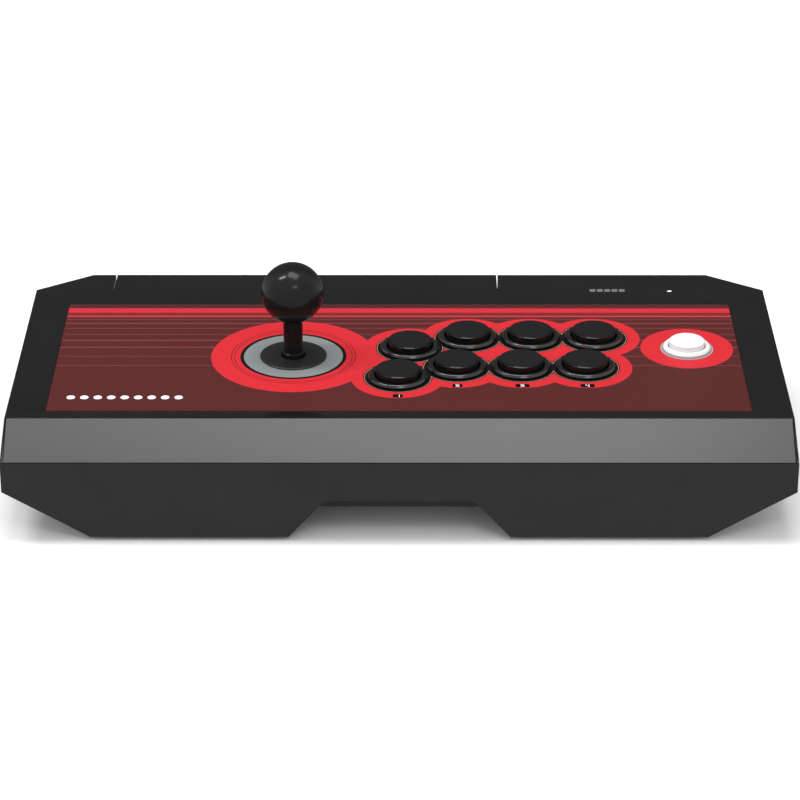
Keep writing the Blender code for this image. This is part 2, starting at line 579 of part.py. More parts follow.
def make_dust_discs(at):
    """The washer on the printed sheet and the disc under the plate, which close the lever's hole."""
    edge = 0.0006
    outer = [(WASHER_HOLE, WASHER_FOOT), (WASHER_RADIUS, WASHER_FOOT), (WASHER_RADIUS, WASHER_FOOT + GAP),
             (WASHER_RADIUS - edge, WASHER_TOP), (WASHER_HOLE, WASHER_TOP)]
    put("dust_washer", turned(outer, 24), GLOSS_BLACK, at=at, smooth=True)
    inner = flat_ring(INNER_DISC_HOLE, INNER_DISC_RADIUS, INNER_DISC_FOOT, INNER_DISC_TOP)
    put("inner_dust_disc", turned(inner, 24), NYLON, at=at, smooth=True)


def make_gate(at):
    """The square restrictor gate on its four corner posts."""
    outline = rounded(HOUSING_SIDE, HOUSING_SIDE, HOUSING_CORNER)
    gate = put("restrictor_gate", prism(outline, GATE_FOOT, GATE_TOP), NYLON, at=at)
    posts = bmesh.new()
    half = GATE_POST / 2
    for sx, sy in ((-1, -1), (1, -1), (1, 1), (-1, 1)):
        x, y = sx * GATE_POST_PLACE, sy * GATE_POST_PLACE
        block(x - half, x + half, y - half, y + half, GATE_FOOT + WALL / 2, HOUSING_FOOT - GAP, bm=posts)
    opening = rounded(GATE_OPENING, GATE_OPENING, GATE_OPENING_CORNER)
    combine(gate, "UNION", put("gate_post_guide", posts, at=at))
    hole = prism(opening, GATE_FOOT - PAST, GATE_TOP + PAST)
    combine(gate, "DIFFERENCE", put("gate_opening_guide", hole, at=at))


def make_lever_base(at):
    """What holds the lever: its steel mount, its housing, its board, gate and four switches."""
    mount = put("lever_mount_plate", prism(rounded(MOUNT_WIDTH, MOUNT_DEPTH, 0.0030), MOUNT_FOOT, MOUNT_TOP),
                STEEL, at=at)
    hole = prism(circle(MOUNT_HOLE_RADIUS), MOUNT_FOOT - PAST, MOUNT_TOP + PAST)
    combine(mount, "DIFFERENCE", put("mount_hole_guide", hole, at=at))

    outline = rounded(HOUSING_SIDE, HOUSING_SIDE, HOUSING_CORNER)
    housing = put("lever_housing", prism(outline, HOUSING_FOOT, HOUSING_TOP), NYLON, at=at)
    (wide, wide_top), (middle, middle_top), (narrow, narrow_foot) = THROAT
    low, high = HOUSING_FOOT - PAST, HOUSING_TOP + PAST
    throat = [(0, low), (wide, low), (wide, wide_top), (middle, wide_top), (middle, middle_top),
              (narrow, narrow_foot), (narrow, high), (0, high)]
    combine(housing, "DIFFERENCE", put("throat_guide", turned(throat), at=at))

    outline = rounded(LEVER_BOARD_SIDE, LEVER_BOARD_SIDE, 0.0020)
    board = put("lever_board", prism(outline, BOARD_FOOT, BOARD_TOP), CIRCUIT, at=at)
    hole = prism(circle(LEVER_BOARD_HOLE), BOARD_FOOT - PAST, BOARD_TOP + PAST)
    combine(board, "DIFFERENCE", put("board_hole_guide", hole, at=at))

    make_gate(at)
    for i in range(4):
        body = block(SWITCH_NEAR, SWITCH_FAR, -SWITCH_HALF_LENGTH, SWITCH_HALF_LENGTH,
                     GATE_TOP + GAP, BOARD_FOOT - GAP)
        quarter = Matrix.Rotation(i * math.pi / 2, 3, "Z")
        bmesh.ops.rotate(body, verts=body.verts, cent=(0, 0, 0), matrix=quarter)
        put(f"lever_switch_{i + 1}", body, SWITCH_PLASTIC, at=at)


def make_lever():
    tilt_back = empty("lever_tilt_back_axis", (LEVER_X, LEVER_Y, PIVOT_Z))
    ring = flat_ring(RING_INNER, RING_OUTER, -RING_HALF_HEIGHT, RING_HALF_HEIGHT)
    put("pivot_ring", turned(ring, 16), NYLON, parent=tilt_back, smooth=True)
    make_lever_stick(empty("lever_tilt_side_axis", (0, 0, 0), tilt_back))
    at = (LEVER_X, LEVER_Y, 0)
    make_dust_discs(at)
    make_lever_base(at)


# --------------------------------------------------------------------------- rear compartment
def make_tray():
    """The compartment's floor, front, roof and ends; its rear is open for the lid."""
    x0, x1 = DOOR_X0 + TRAY_SIDE_GAP, DOOR_X1 - TRAY_SIDE_GAP
    tray = put("compartment_tray", block(x0, x1, TRAY_FRONT_Y, HALF_DEPTH - 0.1 * PAST,
                                         TRAY_FLOOR_Z, TRAY_TOP_Z), NYLON)
    inside = put("tray_inside_guide", block(x0 + TRAY_WALL, x1 - TRAY_WALL, TRAY_FRONT_Y + TRAY_WALL,
                                            HALF_DEPTH + PAST, TRAY_FLOOR_Z + TRAY_FLOOR,
                                            TRAY_TOP_Z - TRAY_WALL))
    sweep = put("lid_sweep_guide", block(x0 + TRAY_WALL, x1 - TRAY_WALL,
                                         HINGE_Y - KNUCKLE_RADIUS - 3 * GAP, HALF_DEPTH + PAST, 0.0, DECK_Z))
    brow = put("tray_brow_guide", block(x0 - PAST, x1 + PAST, HALF_DEPTH - TRAY_BROW_DEPTH, HALF_DEPTH + PAST,
                                        HINGE_Z + KNUCKLE_RADIUS + GAP, DECK_Z))
    pin = put("pin_hole_guide", prism(circle(HINGE_PIN_RADIUS + GAP, HINGE_Y, HINGE_Z, SMALL_ROUND),
                                      DOOR_X0, DOOR_X1, "X"))
    inlet = put("inlet_guide", prism(circle(GLAND_HOLE, GLAND_X, GLAND_Z, SMALL_ROUND),
                                     TRAY_FRONT_Y - PAST, TRAY_FRONT_Y + PAST, "Y"))
    combine(tray, "DIFFERENCE", inside, sweep, brow, pin, inlet)


def make_gland():
    """The rubber bush that the lead comes through, gripping the tray's front wall."""
    barrel, back, front, nose = GLAND_HOLE - GAP, TRAY_WALL + GAP, 0.0040, 0.0100
    profile = [(GLAND_BORE, -TRAY_WALL), (barrel, -TRAY_WALL), (barrel, back), (GLAND_FLANGE, back),
               (GLAND_FLANGE, front), (0.6 * GLAND_FLANGE, nose), (GLAND_BORE, nose)]
    gland = turned(profile, SMALL_ROUND)
    lay_along_y(gland)
    put("cable_gland", gland, RUBBER, at=(GLAND_X, TRAY_FRONT_Y, GLAND_Z), smooth=True)


def lay_along_y(bm):
    """Turns a piece made along +Z so that it points along +Y."""
    bmesh.ops.rotate(bm, verts=bm.verts, cent=(0, 0, 0), matrix=Matrix.Rotation(-math.pi / 2, 3, "X"))


def make_compartment():
    make_tray()
    make_gland()
    from_end = 0.0008
    pin_bar = prism(circle(HINGE_PIN_RADIUS, sides=SMALL_ROUND), DOOR_X0 + from_end, DOOR_X1 - from_end, "X")
    put("door_hinge_pin", pin_bar, STEEL, at=(0, HINGE_Y, HINGE_Z), smooth=True)


def make_door():
    """An L-shaped lid: its leg closes the rear, its flange lies flush in the deck."""
    hinge = empty("door_hinge_axis", (0, HINGE_Y, HINGE_Z))
    back = KNUCKLE_RADIUS
    top = DECK_Z - HINGE_Z
    front = HALF_DEPTH - DOOR_FLANGE - HINGE_Y
    rounding = [(KNUCKLE_RADIUS * math.cos(a), KNUCKLE_RADIUS * math.sin(a))
                for a in (math.radians(d) for d in range(-180, 1, 20))]
    outline = [(back, top), (front, top), (front, top - DOOR_WALL), (back - DOOR_WALL, top - DOOR_WALL),
               (back - DOOR_WALL, DOOR_FOOT_RISE), (-0.7 * KNUCKLE_RADIUS, 0.6 * KNUCKLE_RADIUS), *rounding]
    lid = put("compartment_door", prism(outline, DOOR_X0, DOOR_X1, "X"), BLACK_PLASTIC, parent=hinge)
    notch = TRAY_SIDE_GAP + TRAY_WALL + GAP
    reach = KNUCKLE_RADIUS + 2 * GAP
    ends = bmesh.new()
    for x0, x1 in ((DOOR_X0 - PAST, DOOR_X0 + notch), (DOOR_X1 - notch, DOOR_X1 + PAST)):
        block(x0, x1, -reach, reach, -0.5 * PAST, DOOR_FOOT_RISE + GAP, bm=ends)
    bore = put("door_bore_guide", prism(circle(HINGE_PIN_RADIUS + GAP, sides=SMALL_ROUND),
                                        DOOR_X0 - PAST, DOOR_X1 + PAST, "X"), parent=hinge)
    combine(lid, "DIFFERENCE", bore, put("door_end_guide", ends, parent=hinge))


# --------------------------------------------------------------- rear switch panel and boards
def make_function_button(name, x):
    """A round key with a narrower stem behind the panel."""
    radius, stem = FUNCTION_BUTTON_RADIUS, FUNCTION_STEM_RADIUS
    back, step, edge, face = -0.0060, -0.0030, 0.0011, 0.0015
    profile = [(0, back), (stem, back), (stem, step), (radius, step), (radius, edge),
               (radius - face + edge, face), (0, face)]
    key = turned(profile, 16)
    lay_along_y(key)
    put(name, key, GLOSS_BLACK, at=(x, PANEL_FACE_Y, PANEL_Z), smooth=True)


def make_switch_panel():
    outline = rounded(PANEL_WIDTH, PANEL_HEIGHT, PANEL_CORNER, PANEL_X, PANEL_Z)
    sheet = prism(outline, PANEL_FACE_Y - PANEL_THICKNESS, PANEL_FACE_Y, "Y")
    panel = put("switch_panel", sheet, BASE_PLASTIC)
    buttons = [PANEL_X + dx for dx in FUNCTION_BUTTON_PLACES]
    sliders = [PANEL_X + dx for dx in SLIDER_PLACES]
    low, high = PANEL_FACE_Y - PAST, PANEL_FACE_Y + PAST
    holes = bmesh.new()
    for x in buttons:
        prism(circle(FUNCTION_BUTTON_RADIUS + GAP, x, PANEL_Z, 16), low, high, "Y", bm=holes)
    for x in sliders:
        prism(rounded(SLOT_WIDTH, SLOT_HEIGHT, SLOT_CORNER, x, PANEL_Z), low, high, "Y", bm=holes)
    combine(panel, "DIFFERENCE", put("panel_cut_guide", holes))
    for i, x in enumerate(buttons):
        make_function_button(f"function_button_{i + 1}", x)
    for name, x in zip(("mode_switch", "lock_switch"), sliders):
        knob = block(-KNOB_HALF_WIDTH, KNOB_HALF_WIDTH, KNOB_BACK, KNOB_FACE,
                     -KNOB_HALF_HEIGHT, KNOB_HALF_HEIGHT)
        put(name, knob, GREY_PLASTIC, at=(x + KNOB_START, PANEL_FACE_Y, PANEL_Z))


def make_boards():
    half_width, half_depth = BOARD_WIDTH / 2, BOARD_DEPTH / 2
    put("main_board", block(-half_width, half_width, -half_depth, half_depth, 0, BOARD_THICKNESS),
        CIRCUIT, at=(BOARD_X, BOARD_Y, BOARD_Z))
    put("light_pipe", prism(light_outline(0.0), DECK_Z - LIGHT_LENGTH, DECK_Z), CLEAR)


def main():
    for thing in list(bpy.data.objects):
        bpy.data.objects.remove(thing)
    make_top_case()
    make_front_bezel()
    make_lower_case()
    make_feet()
    make_case_screws()
    make_panel_layers()
    for name, x, y, size in button_places():
        make_push_button(name, x, y, size)
    make_lever()
    make_compartment()
    make_door()
    make_switch_panel()
    make_boards()


main()
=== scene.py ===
"""Looks for the arcade joystick panel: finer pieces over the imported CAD, their materials, and
the studio.

Metres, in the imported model's frame: +X to the player's right, +Y away from the player, +Z up.
"""

import math

import bmesh
import bpy
from mathutils import Matrix, Vector


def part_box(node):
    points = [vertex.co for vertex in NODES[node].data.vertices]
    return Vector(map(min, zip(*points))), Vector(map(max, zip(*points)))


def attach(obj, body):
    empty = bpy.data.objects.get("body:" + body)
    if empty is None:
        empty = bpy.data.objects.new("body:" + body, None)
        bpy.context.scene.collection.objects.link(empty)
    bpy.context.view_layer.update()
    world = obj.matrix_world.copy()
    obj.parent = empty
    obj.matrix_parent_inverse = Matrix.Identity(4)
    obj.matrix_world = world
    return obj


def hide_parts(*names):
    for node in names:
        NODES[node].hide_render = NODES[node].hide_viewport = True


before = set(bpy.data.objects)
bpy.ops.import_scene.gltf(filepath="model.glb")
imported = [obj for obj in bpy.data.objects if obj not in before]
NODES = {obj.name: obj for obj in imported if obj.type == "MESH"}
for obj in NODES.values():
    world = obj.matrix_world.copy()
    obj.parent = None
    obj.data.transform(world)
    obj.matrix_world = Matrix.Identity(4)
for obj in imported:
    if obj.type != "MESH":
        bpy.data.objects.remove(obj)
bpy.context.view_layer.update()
MM = 0.001

# --------------------------------------------------------------------------------- the studio
CAMERA_PLACE = (0.00116, -1.61115, 0.8247)
CAMERA_DROP = 26.183              # degrees below the horizontal
CAMERA_TURN = 0.031
CAMERA_LENS = 141.75              # millimetres, on a 36 mm sensor


def srgb(*channels):
    """A screen colour, 0 to 255, as the linear colour that shaders take."""
    parts = [c / 255 for c in channels]
    linear = [p / 12.92 if p <= 0.04045 else ((p + 0.055) / 1.055) ** 2.4 for p in parts]
    return (*linear, 1.0)


# ------------------------------------------------------------------------------ node materials
class Paint:
    """A node material on a Principled shader. Its methods add nodes and return their outputs."""

    def __init__(self, name, **settings):
        self.material = bpy.data.materials.new(name)
        self.material.use_nodes = True
        self.tree = self.material.node_tree
        self.shader = self.tree.nodes["Principled BSDF"]
        for label, value in settings.items():
            self.set(label.replace("_", " "), value)
        self.place = self.node("ShaderNodeTexCoord").outputs["Object"]
        self.x, self.y, self.z = self.node("ShaderNodeSeparateXYZ", Vector=self.place).outputs

    def feed(self, socket, value):
        if isinstance(value, bpy.types.NodeSocket):
            self.tree.links.new(value, socket)
        else:
            socket.default_value = value

    def set(self, label, value):
        self.feed(self.shader.inputs[label], value)

    def node(self, kind, **inputs):
        made = self.tree.nodes.new(kind)
        for label, value in inputs.items():
            self.feed(made.inputs[label], value)
        return made

    def sum(self, operation, *values):
        made = self.tree.nodes.new("ShaderNodeMath")
        made.operation = operation
        for socket, value in zip(made.inputs, values):
            self.feed(socket, value)
        return made.outputs[0]

    def noise(self, scale, detail=2.0, place=None):
        made = self.node("ShaderNodeTexNoise", Vector=place or self.place, Scale=scale, Detail=detail)
        return made.outputs["Fac"]

    def ranged(self, value, low, high, start=0.3, end=0.7):
        """Spreads the middle of a noise over low to high."""
        made = self.node("ShaderNodeMapRange")
        for socket, number in zip(made.inputs, (value, start, end, low, high)):
            self.feed(socket, number)
        return made.outputs[0]

    def mix(self, share, first, second):
        made = self.tree.nodes.new("ShaderNodeMix")
        made.data_type = "RGBA"
        self.feed(made.inputs["Factor"], share)
        self.feed(made.inputs[6], first)
        self.feed(made.inputs[7], second)
        return made.outputs[2]

    def distance(self, x, y):
        """How far a point is from the upright line through (x, y)."""
        across = self.sum("SUBTRACT", self.x, x)
        along = self.sum("SUBTRACT", self.y, y)
        return self.sum("SQRT", self.sum("ADD", self.sum("POWER", across, 2.0),
                                         self.sum("POWER", along, 2.0)))

    def between(self, value, low, high):
        over = self.sum("GREATER_THAN", value, low)
        return self.sum("MULTIPLY", over, self.sum("LESS_THAN", value, high))

    def relief(self, height, depth):
        """Raised and sunken surface, without new geometry."""
        bump = self.node("ShaderNodeBump", Height=height, Strength=1.0, Distance=depth)
        self.set("Normal", bump.outputs["Normal"])


def moulded(name, colour, roughness, grain=0.00003, grain_scale=1400.0, cloud=0.08, **settings):
    """Moulded plastic: faint clouding, uneven sheen and the fine grain of the tool."""
    paint = Paint(name, **settings)
    base = srgb(*colour)
    dull = tuple(c * (1.0 - cloud) for c in base[:3]) + (1.0,)
    bright = tuple(min(c * (1.0 + cloud), 1.0) for c in base[:3]) + (1.0,)
    paint.set("Base Color", paint.mix(paint.ranged(paint.noise(35.0), 0.0, 1.0), dull, bright))
    sheen = paint.ranged(paint.noise(90.0, 4.0), roughness * (1.0 - cloud), roughness * (1.0 + cloud))
    paint.set("Roughness", sheen)
    paint.relief(paint.noise(grain_scale, 3.0), grain)
    return paint.material


def plunger_plastic(name, radius, shaded_side_colour, top_colour):
    """A plunger: polished round its side and edge, with a fine matt texture on its flat top. Its side and
    edge take a colour a little darker than the top: painted shade.
    """
    paint = Paint(name, Specular_IOR_Level=0.19)
    face = paint.sum("LESS_THAN", paint.distance(0.0, 0.0), radius - 1.0 * MM)
    cloud = paint.ranged(paint.noise(60.0), 0.0, 0.12)
    # The side's darker colour is painted shade; the top's colour is the plastic's own.
    tone = paint.mix(face, srgb(*shaded_side_colour), srgb(*top_colour))
    paint.set("Base Color", paint.mix(cloud, tone, srgb(*shaded_side_colour)))
    speckle = paint.ranged(paint.noise(1500.0, 3.0), 0.36, 0.46)
    paint.set("Roughness", paint.sum("ADD", paint.sum("MULTIPLY", face, speckle), 0.14))
    paint.relief(paint.noise(1500.0, 3.0), 0.000006)
    return paint.material


def metal(name, colour, roughness, stretch=(1.0, 1.0, 30.0)):
    """Plated steel with fine drawn lines."""
    paint = Paint(name, Metallic=1.0)
    stretched = paint.node("ShaderNodeMapping", Vector=paint.place, Scale=stretch).outputs[0]
    lines = paint.noise(260.0, 4.0, stretched)
    base = srgb(*colour)
    dull = tuple(c * 0.8 for c in base[:3]) + (1.0,)
    paint.set("Base Color", paint.mix(paint.ranged(lines, 0.0, 1.0), dull, base))
    paint.set("Roughness", paint.ranged(lines, roughness * 0.8, roughness * 1.3))
    paint.relief(lines, 0.00002)
    return paint.material


# ------------------------------------------------------------------------------------- meshes
def centre(node):
    low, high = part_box(node)
    return (low + high) / 2


def rounded_path(corners, steps=6):
    """A path whose corners are (u, v, rounding): each is swept by an arc of that radius."""
    path = []
    for k, (u, v, radius) in enumerate(corners):
        here = Vector((u, v))
        if not radius or k in (0, len(corners) - 1):
            path.append(here)
            continue
        before = (Vector(corners[k - 1][:2]) - here).normalized()
        after = (Vector(corners[k + 1][:2]) - here).normalized()
        half = before.angle(after) / 2
        hub = here + (before + after).normalized() * radius / math.sin(half)
        first = here + before * radius / math.tan(half) - hub
        last = here + after * radius / math.tan(half) - hub
        sweep = first.angle(last)
        for s in range(steps + 1):
            share = s / steps
            arm = first * math.sin((1 - share) * sweep) + last * math.sin(share * sweep)
            path.append(hub + arm / math.sin(sweep))
    return path


def lathe(path, steps=96, bm=None):
    """Turns a path of (radius, height) about Z. A closed solid starts and ends at radius 0."""
    bm = bm or bmesh.new()
    turned = bmesh.new()
    line = [turned.verts.new((u, 0.0, v)) for u, v in path]
    edges = [turned.edges.new(pair) for pair in zip(line, line[1:])]
    bmesh.ops.spin(turned, geom=line + edges, axis=(0, 0, 1), cent=(0, 0, 0), steps=steps,
                   angle=2 * math.pi, use_merge=True)
    bmesh.ops.remove_doubles(turned, verts=turned.verts, dist=1e-6)
    bmesh.ops.recalc_face_normals(turned, faces=turned.faces)
    add(bm, turned)
    return bm


def ring_lathe(path, steps=96, bm=None):
    """Turns a path that comes back to its first point, for a piece with a hole through it."""
    return lathe(list(path) + [path[0]], steps, bm)


def add(bm, extra):
    """Moves one bmesh's geometry into another."""
    holder = bpy.data.meshes.new("holder")
    extra.to_mesh(holder)
    extra.free()
    bm.from_mesh(holder)
    bpy.data.meshes.remove(holder)


def box(low, high, edge=0.0, bm=None, segments=2):
    """A block between two corners, with its edges rounded."""
    bm = bm or bmesh.new()
    low, high = Vector(low), Vector(high)
    part = bmesh.new()
    bmesh.ops.create_cube(part, size=1.0)
    bmesh.ops.scale(part, vec=high - low, verts=part.verts)
    bmesh.ops.translate(part, vec=(low + high) / 2, verts=part.verts)
    if edge:
        bmesh.ops.bevel(part, geom=part.edges[:], offset=edge, segments=segments, profile=0.5,
                        affect="EDGES")
    add(bm, part)
    return bm


def slab(outline, low, high, edge=0.0, bm=None):
    """An outline in XY with a thickness along Z, its top and bottom edges rounded."""
    bm = bm or bmesh.new()
    part = bmesh.new()
    floor = part.faces.new([part.verts.new((u, v, low)) for u, v in outline])
    walls = bmesh.ops.extrude_face_region(part, geom=[floor])["geom"]
    top = [v for v in walls if isinstance(v, bmesh.types.BMVert)]
    bmesh.ops.translate(part, vec=(0, 0, high - low), verts=top)
    bmesh.ops.recalc_face_normals(part, faces=part.faces)
    if edge:
        rims = [e for e in part.edges if abs(e.verts[0].co.z - e.verts[1].co.z) < 1e-7]
        bmesh.ops.bevel(part, geom=rims, offset=edge, segments=2, profile=0.5, affect="EDGES")
    add(bm, part)
    return bm


def rounded_rectangle(width, depth, radius, x=0.0, y=0.0, steps=5):
    points = []
    for quarter, (sx, sy) in enumerate(((1, 1), (-1, 1), (-1, -1), (1, -1))):
        hub = (x + sx * (width / 2 - radius), y + sy * (depth / 2 - radius))
        for s in range(steps + 1):
            turn = (quarter + s / steps) * math.pi / 2
            points.append((hub[0] + radius * math.cos(turn), hub[1] + radius * math.sin(turn)))
    return points


def turn_to(bm, axis):
    """Turns a bmesh made along +Z so that it lies along +X, +Y or -Z."""
    turns = {"X": Matrix.Rotation(math.pi / 2, 3, "Y"), "Y": Matrix.Rotation(-math.pi / 2, 3, "X"),
             "-Z": Matrix.Rotation(math.pi, 3, "X")}
    bmesh.ops.rotate(bm, verts=bm.verts, cent=(0, 0, 0), matrix=turns[axis])
    return bm


def piece(name, bm, paint, body, at=(0, 0, 0), replaces=(), sharp=35):
    """A finished object that rides on a body and takes its finish from a slot."""
    mesh = bpy.data.meshes.new(name)
    bm.to_mesh(mesh)
    bm.free()
    mesh.shade_smooth()
    mesh.set_sharp_from_angle(angle=math.radians(sharp))
    mesh.materials.append(paint)
    thing = bpy.data.objects.new(name, mesh)
    bpy.context.scene.collection.objects.link(thing)
    thing.location = at
    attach(thing, body)
    if replaces:
        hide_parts(*replaces)
    return thing


def eased(node, width, paint, body, wanted=None, segments=3, sharpest=25, forward=0.0):
    """A copy of a CAD piece with its outer edges rounded over, as a moulding has them. Its
    foremost face comes forward a little, to close a gap."""
    bm = bmesh.new()
    bm.from_mesh(NODES[node].data)
    front = min(v.co.y for v in bm.verts)
    for vert in bm.verts:
        if vert.co.y < front + 0.01 * MM:
            vert.co.y -= forward
    bmesh.ops.remove_doubles(bm, verts=bm.verts, dist=2e-6)
    bmesh.ops.dissolve_limit(bm, angle_limit=math.radians(0.5), verts=bm.verts, edges=bm.edges)
    edges = []
    for edge in bm.edges:
        turn = edge.calc_face_angle(0.0) if edge.is_manifold else 0.0
        if turn > math.radians(sharpest) and edge.is_convex and (wanted is None or wanted(edge)):
            edges.append(edge)
    bmesh.ops.bevel(bm, geom=edges, offset=width, segments=segments, profile=0.5, affect="EDGES",
                    clamp_overlap=False)
    thing = piece(f"{node}_shell", bm, paint, body, replaces=(node,), sharp=60)
    weighted = thing.modifiers.new("weighted_normals", "WEIGHTED_NORMAL")
    weighted.keep_sharp = True
    return thing


# ---------------------------------------------------------------------------------- materials
DECK_BLACK = moulded("deck_black", (24, 24, 24), 0.12, grain=0.000003, Specular_IOR_Level=0.14)
CASE_BLACK = moulded("case_black", (33, 33, 33), 0.45, Specular_IOR_Level=0.2)
BAND_GREY = moulded("band_grey", (56, 56, 56), 0.32, grain=0.000002, cloud=0.015, Metallic=0.5)
GLOSS_BLACK = moulded("button_black", (12, 12, 12), 0.22, grain=0.000002, Specular_IOR_Level=0.65)
WASHER_BLACK = moulded("washer_black", (34, 35, 35), 0.38, grain=0.000006, Specular_IOR_Level=0.2)
PLAY_RADIUS = (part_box("play_button_1_plunger")[1].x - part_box("play_button_1_plunger")[0].x) / 2
# The first colour, for the side, is darker than the top's: painted shade.
CAP_BLACK = plunger_plastic("plunger_black", PLAY_RADIUS, (14, 14, 14), (18, 18, 18))
BALL_BLACK = moulded("ball_black", (23, 23, 23), 0.16, grain=0.000001, Specular_IOR_Level=0.16)
SLEEVE_BLACK = moulded("sleeve_black", (18, 17, 17), 0.30, grain=0.000002, Specular_IOR_Level=0.14)
GLOSS_WHITE = moulded("button_white", (224, 224, 226), 0.14, grain=0.000003, Specular_IOR_Level=0.25)
NYLON = moulded("nylon_black", (30, 30, 31), 0.45)
SWITCH_BLACK = moulded("switch_black", (24, 24, 26), 0.5)
KNOB_GREY = moulded("knob_grey", (120, 120, 122), 0.5)
RUBBER = moulded("rubber", (28, 28, 29), 0.8, grain=0.00006, grain_scale=900.0)
STEEL = metal("zinc_steel", (190, 190, 192), 0.28)
PLATE_STEEL = metal("plate_steel", (160, 162, 165), 0.35, stretch=(30.0, 1.0, 1.0))
WHITE_PRINT = moulded("white_print", (245, 245, 245), 0.5, grain=0.000003)
GREY_PRINT = moulded("grey_print", (105, 105, 106), 0.5, grain=0.000003)
PILL_BLACK = moulded("pill_black", (7, 5, 5), 0.6, grain=0.000003, Specular_IOR_Level=0.1)


def glowing(name, colour, strength):
    """A lit diffuser."""
    paint = Paint(name, Roughness=0.25, Emission_Strength=strength)
    glow = paint.mix(paint.ranged(paint.noise(900.0), 0.0, 1.0), srgb(*colour), srgb(255, 255, 255))
    paint.set("Base Color", glow)
    paint.set("Emission Color", glow)
    return paint.material


LIGHT_BAR = glowing("light_bar", (225, 230, 240), 0.8)


def circuit_board():
    """Green solder mask over copper tracks."""
    paint = Paint("circuit_board", Roughness=0.3)
    grid = paint.node("ShaderNodeTexBrick", Vector=paint.place, Scale=140.0)
    grid.inputs["Color1"].default_value = srgb(16, 84, 44)
    grid.inputs["Color2"].default_value = srgb(20, 96, 52)
    grid.inputs["Mortar"].default_value = srgb(10, 60, 30)
    paint.set("Base Color", grid.outputs["Color"])
    paint.relief(grid.outputs["Fac"], 0.00005)
    return paint.material


CIRCUIT = circuit_board()

# -------------------------------------------------------------------------- the printed sheet
MAROON = srgb(78, 33, 33)
MAROON_LINE = srgb(128, 56, 62)
DEEP_RED = srgb(120, 31, 33)
STRIPE_RED = srgb(188, 44, 54)
DISC_RED = srgb(196, 40, 48)
PALE_RED = srgb(172, 76, 86)
CREAM = srgb(178, 150, 132)
EDGE_RED = srgb(50, 16, 22)
PRINT_BLACK = srgb(16, 12, 12)
RING_GREY = srgb(125, 130, 130)
# Grey painted shade that shows round the start button's white rim; it is not print.
START_RIM_PAINTED_SHADE = srgb(150, 150, 150)

# radii and widths of the printing, in millimetres
# The start button's radius is not print: it is a grey disc of painted shade whose edge shows round the white
# rim.
LEVER_DISC, BUTTON_DISC, START_RIM_SHADE_RADIUS = 46.4, 26.2, 15.0
LEVER_RINGS = ((34.75, 35.05, PRINT_BLACK), (32.95, 33.25, PRINT_BLACK), (27.9, 29.9, PRINT_BLACK),
               (0.0, 27.9, RING_GREY))
BUTTON_RINGS = ((18.72, 19.3, PRINT_BLACK), (18.45, 18.72, CREAM), (0.0, 18.45, PRINT_BLACK))
SIDE_MARGIN, END_MARGIN = 0.5, 0.7
THIN_LINE_HALF = 0.40

PLAY_BUTTONS = [f"play_button_{k}" for k in range(1, 9)]
LOWER_ROW = PLAY_BUTTONS[4:]
THIN_LINES = (49.0, 43.6, 36.7, 28.6, 20.5, 11.2, -0.4, -12.5)


def stripes(paint, lever_y, half_depth):
    """Bands across the sheet, as one ramp with hard steps over its depth."""
    bands = [(-half_depth, MAROON)]
    for middle in reversed(THIN_LINES):
        bands += [((middle - THIN_LINE_HALF) * MM, MAROON_LINE), ((middle + THIN_LINE_HALF) * MM, MAROON)]
    bands += [(50.6 * MM, DEEP_RED), (53.1 * MM, PALE_RED), (54.0 * MM, DEEP_RED),
              (58.7 * MM, STRIPE_RED), (64.3 * MM, MAROON)]
    height = paint.sum("SUBTRACT", paint.y, lever_y)
    share = paint.sum("DIVIDE", paint.sum("ADD", height, half_depth), 2 * half_depth)
    ramp = paint.node("ShaderNodeValToRGB", Fac=share)
    ramp.color_ramp.interpolation = "CONSTANT"
    steps = ramp.color_ramp.elements
    while len(steps) > 1:
        steps.remove(steps[-1])
    steps[0].position = 0.0
    steps[0].color = MAROON
    for start, colour in bands[1:]:
        step = steps.new((start + half_depth) / (2 * half_depth))
        step.color = colour
    return ramp.outputs["Color"]


